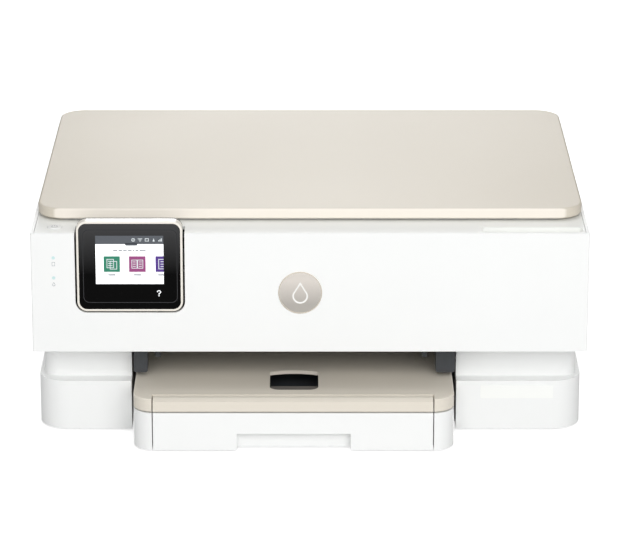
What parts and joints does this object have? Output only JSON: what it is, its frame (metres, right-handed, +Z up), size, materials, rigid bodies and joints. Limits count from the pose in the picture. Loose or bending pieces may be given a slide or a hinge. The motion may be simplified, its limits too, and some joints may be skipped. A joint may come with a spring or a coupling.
{
  "type": "inkjet printer",
  "caption": "Desktop all-in-one inkjet printer with flatbed scanner lid, tilting colour touch panel, fold-down front door, and a pull-out paper tray under the output tray.",
  "frame": {"origin": "on the table under the middle of the closed printer's outline", "axes": "+X to the user's right when facing the printer, +Y to its back, +Z up"},
  "size_m": [0.46, 0.383, 0.191],
  "materials": {
    "white_shell": "satin moulded white",
    "deck_plastic": "fine matt pale grey-white",
    "sand_plastic": "fine matt warm sand",
    "sand_frame": "satin champagne",
    "black_glass": "polished black",
    "display": "lit display",
    "dark_plastic": "matt dark grey",
    "grey_plastic": "matt mid grey",
    "steel": "bright drawn steel",
    "sheet_steel": "galvanised sheet",
    "rubber": "matt rubber",
    "gear_plastic": "natural acetal",
    "emblem": "brushed champagne",
    "clear_glass": "clear",
    "foam_white": "white foam sheet",
    "circuit_green": "solder resist",
    "lamp": "pale light guide"
  },
  "bodies": {
    "casing": {"base_housing": "white_shell", "feet": "rubber", "name_plate": "deck_plastic", "power_inlet": "dark_plastic", "usb_port": "dark_plastic", "upper_housing": "white_shell", "scanner_deck": "deck_plastic", "scanner_glass": "clear_glass", "scanner_tub": "dark_plastic", "lid_hinge_posts": "grey_plastic", "output_corner_guides": "dark_plastic", "side_frames": "sheet_steel", "chassis_beam": "sheet_steel", "platen": "dark_plastic", "roller_holders": "dark_plastic", "drive_motors": "steel", "steel_rods": "steel", "service_station": "grey_plastic", "rear_paper_guide": "dark_plastic", "logic_board": "circuit_green", "power_supply": "dark_plastic", "carriage_belt": "rubber"},
    "front_door": {"front_door": "white_shell", "status_lights": "lamp", "emblem_disc": "emblem"},
    "lid": {"scanner_lid": "sand_plastic", "lid_backing_pad": "foam_white"},
    "control_panel": {"panel_frame": "sand_frame", "panel_glass": "black_glass", "display_screen": "display", "panel_back_cover": "dark_plastic"},
    "power_button": {"power_button": "white_shell"},
    "paper_tray": {"paper_tray": "white_shell", "tray_front_panel": "white_shell", "output_tray": "sand_plastic"},
    "output_extender": {"output_extender": "sand_plastic"},
    "photo_tray": {"photo_tray": "dark_plastic", "photo_tray_handle": "dark_plastic"},
    "width_guide_left": {"width_guide_left": "grey_plastic"},
    "width_guide_right": {"width_guide_right": "grey_plastic"},
    "length_guide": {"length_guide": "grey_plastic"},
    "scan_carriage": {"scan_carriage": "dark_plastic"},
    "print_carriage": {"print_carriage": "dark_plastic", "black_cartridge": "dark_plastic", "colour_cartridge": "dark_plastic"},
    "cartridge_latch_left": {"cartridge_latch_left": "grey_plastic"},
    "cartridge_latch_right": {"cartridge_latch_right": "grey_plastic"},
    "drive_pulley": {"drive_pulley": "gear_plastic"},
    "idler_pulley": {"idler_pulley": "gear_plastic"},
    "feed_roller": {"feed_roller": "rubber", "feed_gear": "gear_plastic"},
    "exit_roller": {"exit_roller": "rubber", "exit_gear": "gear_plastic"},
    "idler_gear": {"idler_gear": "gear_plastic"},
    "motor_pinion": {"motor_pinion": "gear_plastic"},
    "pinch_rollers": {"pinch_rollers": "grey_plastic"},
    "star_wheels": {"star_wheels": "steel"},
    "pick_arm": {"pick_arm": "grey_plastic"},
    "pick_roller": {"pick_roller": "rubber"},
    "rear_door": {"rear_door": "white_shell"}
  },
  "joints": [
    {"name": "lid_hinge", "type": "hinge", "parent": "casing", "child": "lid", "pos_m": [0, 0.1851, 0.1864], "axis": [-1, 0, 0], "range_deg": [0, 75]},
    {"name": "front_door_hinge", "type": "hinge", "parent": "casing", "child": "front_door", "pos_m": [0, -0.1532, 0.0795], "axis": [1, 0, 0], "range_deg": [0, 85]},
    {"name": "panel_tilt", "type": "hinge", "parent": "casing", "child": "control_panel", "pos_m": [-0.1485, -0.1435, 0.172], "axis": [-1, 0, 0], "range_deg": [0, 40]},
    {"name": "power_button_press", "type": "slide", "parent": "casing", "child": "power_button", "axis": [0, 0, -1], "range_m": [0, 0.001], "stiffness_N_per_m": 600, "springref_m": -0.0005},
    {"name": "paper_tray_slide", "type": "slide", "parent": "casing", "child": "paper_tray", "axis": [0, -1, 0], "range_m": [0, 0.2]},
    {"name": "output_extender_slide", "type": "slide", "parent": "paper_tray", "child": "output_extender", "axis": [0, -1, 0], "range_m": [0, 0.126]},
    {"name": "photo_tray_slide", "type": "slide", "parent": "paper_tray", "child": "photo_tray", "axis": [0, 1, 0], "range_m": [0, 0.02]},
    {"name": "width_guide_left_slide", "type": "slide", "parent": "paper_tray", "child": "width_guide_left", "axis": [1, 0, 0], "range_m": [0, 0.055]},
    {"name": "width_guide_right_slide", "type": "slide", "parent": "paper_tray", "child": "width_guide_right", "axis": [1, 0, 0], "range_m": [-0.055, 0]},
    {"name": "length_guide_slide", "type": "slide", "parent": "paper_tray", "child": "length_guide", "axis": [0, 1, 0], "range_m": [0, 0.115]},
    {"name": "scan_carriage_slide", "type": "slide", "parent": "casing", "child": "scan_carriage", "axis": [1, 0, 0], "range_m": [0, 0.285]},
    {"name": "print_carriage_slide", "type": "slide", "parent": "casing", "child": "print_carriage", "axis": [-1, 0, 0], "range_m": [0, 0.27]},
    {"name": "cartridge_latch_left_hinge", "type": "hinge", "parent": "print_carriage", "child": "cartridge_latch_left", "pos_m": [0.1305, -0.055, 0.121], "axis": [1, 0, 0], "range_deg": [0, 70]},
    {"name": "cartridge_latch_right_hinge", "type": "hinge", "parent": "print_carriage", "child": "cartridge_latch_right", "pos_m": [0.1695, -0.055, 0.121], "axis": [1, 0, 0], "range_deg": [0, 70]},
    {"name": "drive_pulley_turn", "type": "hinge", "parent": "casing", "child": "drive_pulley", "pos_m": [-0.1825, 0.036, 0.111], "axis": [0, 0, 1], "continuous": true},
    {"name": "idler_pulley_turn", "type": "hinge", "parent": "casing", "child": "idler_pulley", "pos_m": [0.193, 0.036, 0.111], "axis": [0, 0, 1], "continuous": true},
    {"name": "feed_roller_turn", "type": "hinge", "parent": "casing", "child": "feed_roller", "pos_m": [0, 0.022, 0.063], "axis": [1, 0, 0], "continuous": true},
    {"name": "exit_roller_turn", "type": "hinge", "parent": "casing", "child": "exit_roller", "pos_m": [0, -0.05, 0.063], "axis": [1, 0, 0], "continuous": true},
    {"name": "idler_gear_turn", "type": "hinge", "parent": "casing", "child": "idler_gear", "pos_m": [-0.2, -0.014, 0.063], "axis": [1, 0, 0], "continuous": true},
    {"name": "motor_pinion_turn", "type": "hinge", "parent": "casing", "child": "motor_pinion", "pos_m": [-0.2, 0.046, 0.063], "axis": [1, 0, 0], "continuous": true},
    {"name": "pinch_rollers_turn", "type": "hinge", "parent": "casing", "child": "pinch_rollers", "pos_m": [0, 0.022, 0.07335], "axis": [1, 0, 0], "continuous": true},
    {"name": "star_wheels_turn", "type": "hinge", "parent": "casing", "child": "star_wheels", "pos_m": [0, -0.05, 0.07335], "axis": [1, 0, 0], "continuous": true},
    {"name": "pick_arm_lift", "type": "hinge", "parent": "casing", "child": "pick_arm", "pos_m": [-0.0135, 0.07, 0.052], "axis": [1, 0, 0], "range_deg": [0, 14]},
    {"name": "pick_roller_turn", "type": "hinge", "parent": "pick_arm", "child": "pick_roller", "pos_m": [-0.0135, 0.1, 0.0173], "axis": [1, 0, 0], "continuous": true},
    {"name": "rear_door_hinge", "type": "hinge", "parent": "casing", "child": "rear_door", "pos_m": [-0.0135, 0.1902, 0.0133], "axis": [-1, 0, 0], "range_deg": [0, 80]}
  ],
  "couplings": [
    {"joint": "width_guide_right_slide", "follows": "width_guide_left_slide", "ratio": -1},
    {"joint": "drive_pulley_turn", "follows": "print_carriage_slide", "rad_per_m": -166.67},
    {"joint": "idler_pulley_turn", "follows": "print_carriage_slide", "rad_per_m": -166.67},
    {"joint": "exit_roller_turn", "follows": "feed_roller_turn", "ratio": 1},
    {"joint": "idler_gear_turn", "follows": "feed_roller_turn", "ratio": -1},
    {"joint": "motor_pinion_turn", "follows": "feed_roller_turn", "ratio": -3},
    {"joint": "pinch_rollers_turn", "follows": "feed_roller_turn", "ratio": -1.5},
    {"joint": "star_wheels_turn", "follows": "feed_roller_turn", "ratio": -1.5},
    {"joint": "pick_roller_turn", "follows": "feed_roller_turn", "ratio": 0.6316}
  ]
}
